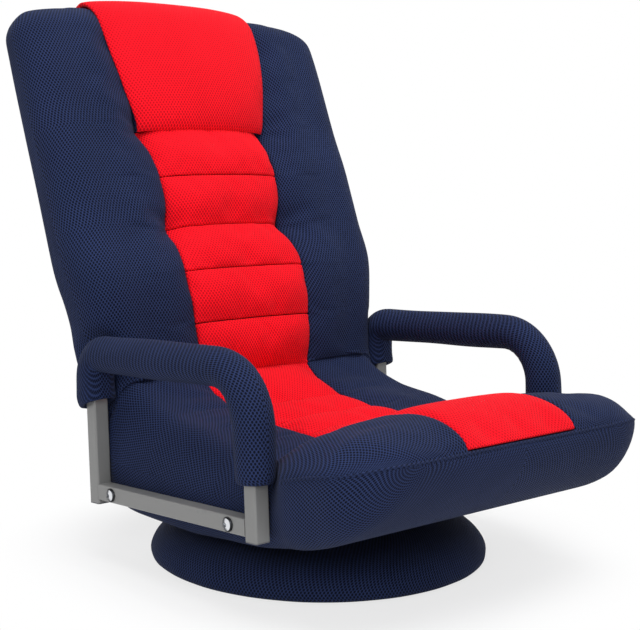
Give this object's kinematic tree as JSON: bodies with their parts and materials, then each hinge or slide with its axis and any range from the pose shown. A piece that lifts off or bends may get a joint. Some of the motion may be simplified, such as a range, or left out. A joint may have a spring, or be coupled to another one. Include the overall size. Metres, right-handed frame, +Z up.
{
  "type": "swivel floor chair",
  "caption": "Padded floor chair with a reclining segmented back, a front roll, two tube armrests and a round swivel base.",
  "frame": {"origin": "on the floor, on the axis of the swivel", "axes": "+Z up along the swivel axis, -Y towards the front of the seat, +X to the left of a person who sits in it"},
  "size_m": [0.5292, 0.7143, 0.7019],
  "materials": {
    "navy_mesh_fabric": "padded three-layer air mesh",
    "red_mesh_fabric": "padded three-layer air mesh",
    "grey_painted_tube": "satin powder coat",
    "dark_painted_steel": "satin powder coat",
    "zinc_steel": "bright zinc",
    "chrome_fastener": "polished",
    "black_elastic": "woven elastic",
    "black_nonwoven": "pressed non-woven cloth",
    "brass_cage": "stamped sheet"
  },
  "bodies": {
    "base": {"base_cover": "black_nonwoven", "base_cushion": "navy_mesh_fabric", "base_ring": "dark_painted_steel", "base_spider": "dark_painted_steel", "swivel_lower_plate": "zinc_steel", "swivel_balls": "zinc_steel", "swivel_ball_cage": "brass_cage", "swivel_rivet": "zinc_steel", "swivel_lower_bolts": "zinc_steel", "swivel_lower_nuts": "zinc_steel"},
    "seat": {"swivel_upper_plate": "zinc_steel", "swivel_upper_bolts": "zinc_steel", "swivel_upper_nuts": "zinc_steel", "seat_frame": "dark_painted_steel", "seat_carrier": "dark_painted_steel", "seat_bands": "black_elastic", "seat_cushion": "navy_mesh_fabric", "seat_red_panel": "red_mesh_fabric", "seat_roll_panel": "red_mesh_fabric", "seat_bottom_cover": "black_nonwoven", "hinge_brackets": "dark_painted_steel", "pivot_pins": "zinc_steel", "pawl_pins": "zinc_steel", "pawl_springs": "zinc_steel", "arm_frame_left": "grey_painted_tube", "arm_frame_right": "grey_painted_tube", "arm_sleeve_left": "navy_mesh_fabric", "arm_sleeve_right": "navy_mesh_fabric", "arm_end_caps": "grey_painted_tube", "arm_bolts": "chrome_fastener", "arm_washers": "chrome_fastener", "arm_weld_nuts": "zinc_steel"},
    "back": {"back_frame": "dark_painted_steel", "back_rods": "dark_painted_steel", "back_bands": "black_elastic", "ratchet_plates": "zinc_steel", "back_cushion": "navy_mesh_fabric", "back_red_panel": "red_mesh_fabric", "head_pillow": "red_mesh_fabric", "back_rear_panel": "navy_mesh_fabric"},
    "pawl_left": {"pawl_left": "zinc_steel"},
    "pawl_right": {"pawl_right": "zinc_steel"}
  },
  "joints": [
    {"name": "seat_swivel", "type": "hinge", "parent": "base", "child": "seat", "pos_m": [0, 0, 0.054], "axis": [0, 0, 1], "continuous": true},
    {"name": "back_recline", "type": "hinge", "parent": "seat", "child": "back", "pos_m": [0, 0.155, 0.185], "axis": [-1, 0, 0], "range_deg": [-17, 68]},
    {"name": "pawl_left_lift", "type": "hinge", "parent": "seat", "child": "pawl_left", "pos_m": [0.196, 0.12753, 0.15593], "axis": [1, 0, 0], "range_deg": [-12, 8], "stiffness_Nm_per_rad": 0.02},
    {"name": "pawl_right_lift", "type": "hinge", "parent": "seat", "child": "pawl_right", "pos_m": [-0.196, 0.12753, 0.15593], "axis": [1, 0, 0], "range_deg": [-12, 8], "stiffness_Nm_per_rad": 0.02}
  ]
}
